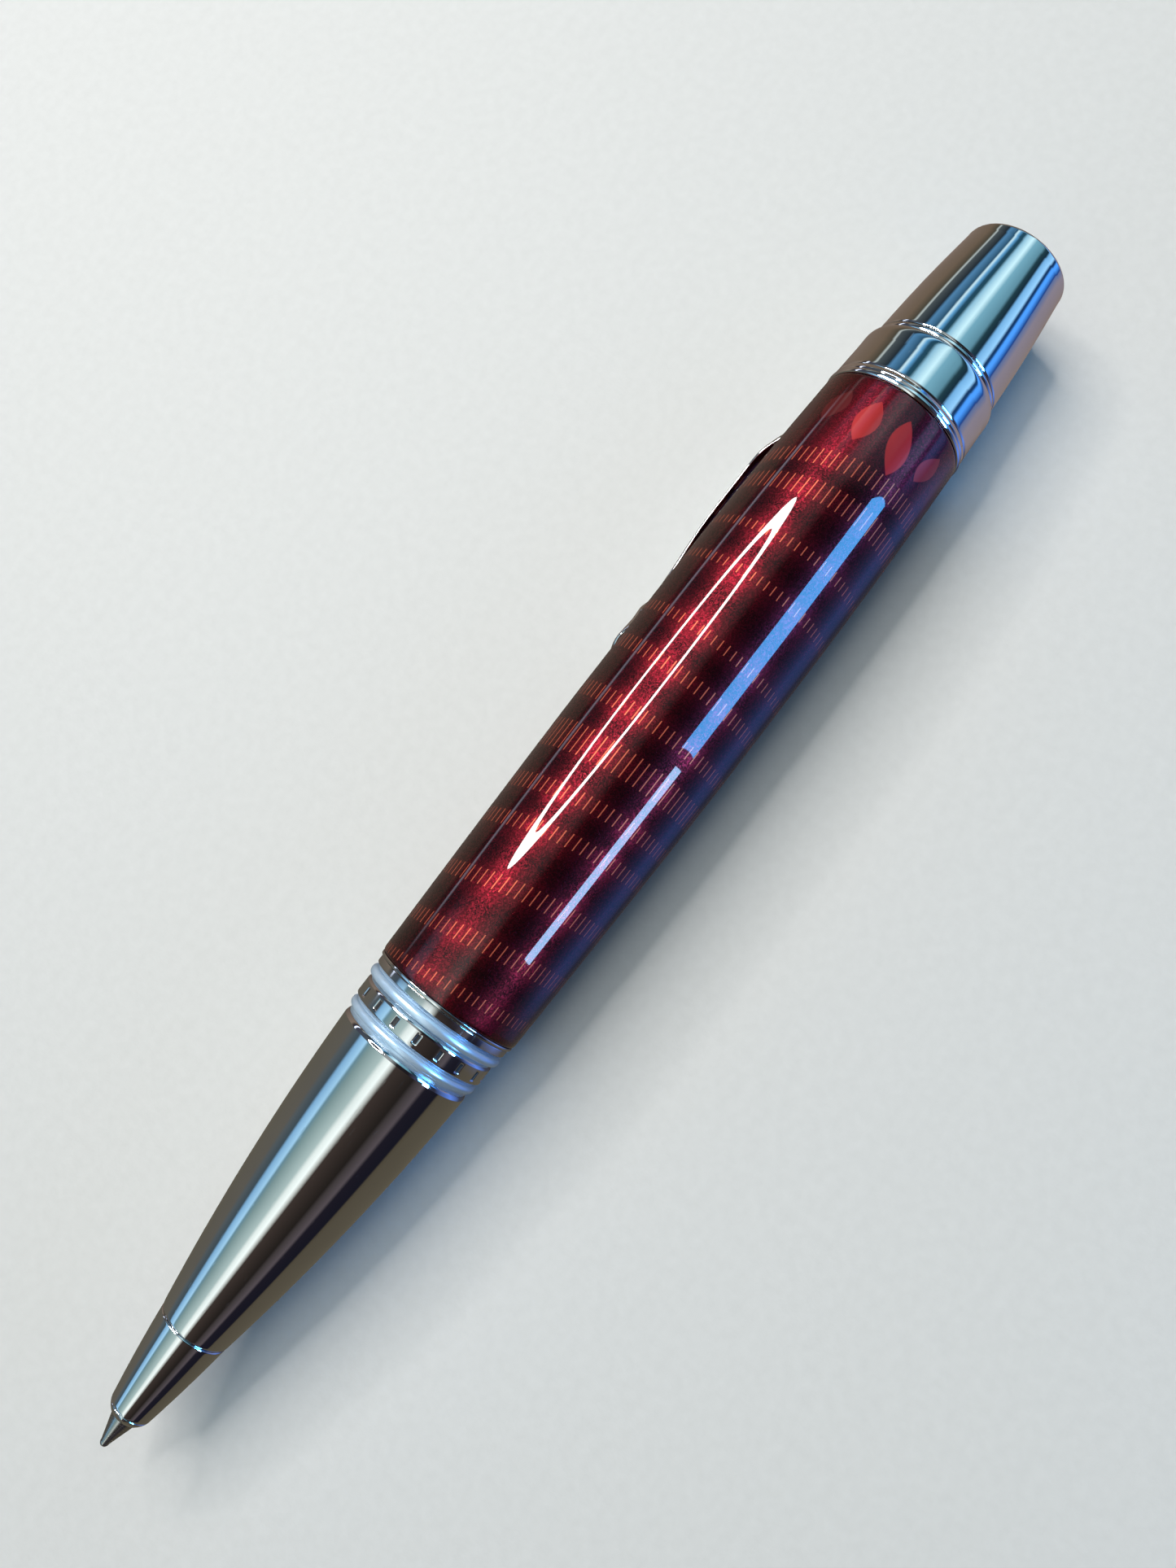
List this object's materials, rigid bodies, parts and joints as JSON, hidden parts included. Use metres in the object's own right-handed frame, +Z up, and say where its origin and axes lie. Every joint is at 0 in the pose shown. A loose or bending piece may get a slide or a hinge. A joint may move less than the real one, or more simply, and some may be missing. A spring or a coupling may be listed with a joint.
{
  "type": "rollerball pen",
  "caption": "Twist-action rollerball pen with a chromed cone nose, a red lacquered barrel, a bowed pocket clip and a tapered chrome knob that draws the refill in.",
  "frame": {"origin": "on the surface that the pen lies on, under the middle of its box", "axes": "+X along the pen from the writing ball to the end of the knob, +Z up, the pen on its side with its clip low on the +Y side"},
  "size_m": [0.13, 0.017, 0.0151],
  "materials": {
    "chrome": "mirror-polished chrome plate over turned brass",
    "lacquer": "deep red flake lacquer over engraved metal, clear-coated and polished",
    "steel": "drawn and ground stainless steel",
    "brass": "turned brass, unplated",
    "plastic": "moulded plastic",
    "rubber": "black nitrile rubber",
    "ink": "liquid ink",
    "grease": "clear grease"
  },
  "bodies": {
    "barrel": {"barrel_shell": "lacquer", "barrel_bush": "chrome", "barrel_liner": "plastic", "refill_guide": "plastic", "mechanism_tube": "brass", "retaining_ring": "steel", "rear_bush": "brass", "friction_ring": "rubber", "clip_ring": "chrome", "collar": "chrome"},
    "clip": {"clip": "chrome"},
    "knob": {"twist_knob": "chrome", "knob_base_ring": "chrome", "knob_insert": "brass", "cam_sleeve": "steel", "knob_end_cap": "chrome"},
    "refill": {"refill_point": "steel", "refill_nose": "plastic", "refill_tube": "steel", "ink_column": "ink", "ink_seal": "grease", "refill_plug": "plastic", "follower": "plastic", "cross_pin": "steel"},
    "ball": {"writing_ball": "steel"},
    "front_seal": {"front_o_ring": "rubber"},
    "front_section": {"front_cone": "chrome", "nose_sleeve": "chrome", "front_coupler": "brass", "lower_ring": "chrome", "centre_band": "chrome", "upper_ring": "chrome", "neck_ring": "chrome", "return_spring": "steel"}
  },
  "joints": [
    {"name": "knob_twist", "type": "hinge", "parent": "barrel", "child": "knob", "pos_m": [0.055, -0.00093, 0.00755], "axis": [1, 0, 0], "range_deg": [0, 180]},
    {"name": "refill_slide", "type": "slide", "parent": "barrel", "child": "refill", "axis": [1, 0, 0], "range_m": [0, 0.005], "deforming": ["return_spring"]},
    {"name": "ball_roll", "type": "hinge", "parent": "refill", "child": "ball", "pos_m": [-0.0646, -0.00093, 0.00755], "axis": [0, 1, 0], "continuous": true},
    {"name": "front_travel", "type": "slide", "parent": "barrel", "child": "front_seal", "axis": [-1, 0, 0], "range_m": [0, 0.0045]},
    {"name": "front_turn", "type": "hinge", "parent": "front_seal", "child": "front_section", "pos_m": [-0.035, -0.00093, 0.00755], "axis": [-1, 0, 0], "range_deg": [0, 2160]},
    {"name": "clip_flex", "type": "hinge", "parent": "barrel", "child": "clip", "pos_m": [0.045, 0.0054, 0.00308], "axis": [0, -0.5773, -0.8165], "range_deg": [0, 4], "stiffness_Nm_per_rad": 1.3}
  ],
  "couplings": [
    {"joint": "knob_twist", "follows": "refill_slide", "rad_per_m": 628.32},
    {"joint": "front_turn", "follows": "front_travel", "rad_per_m": 8377.6}
  ]
}
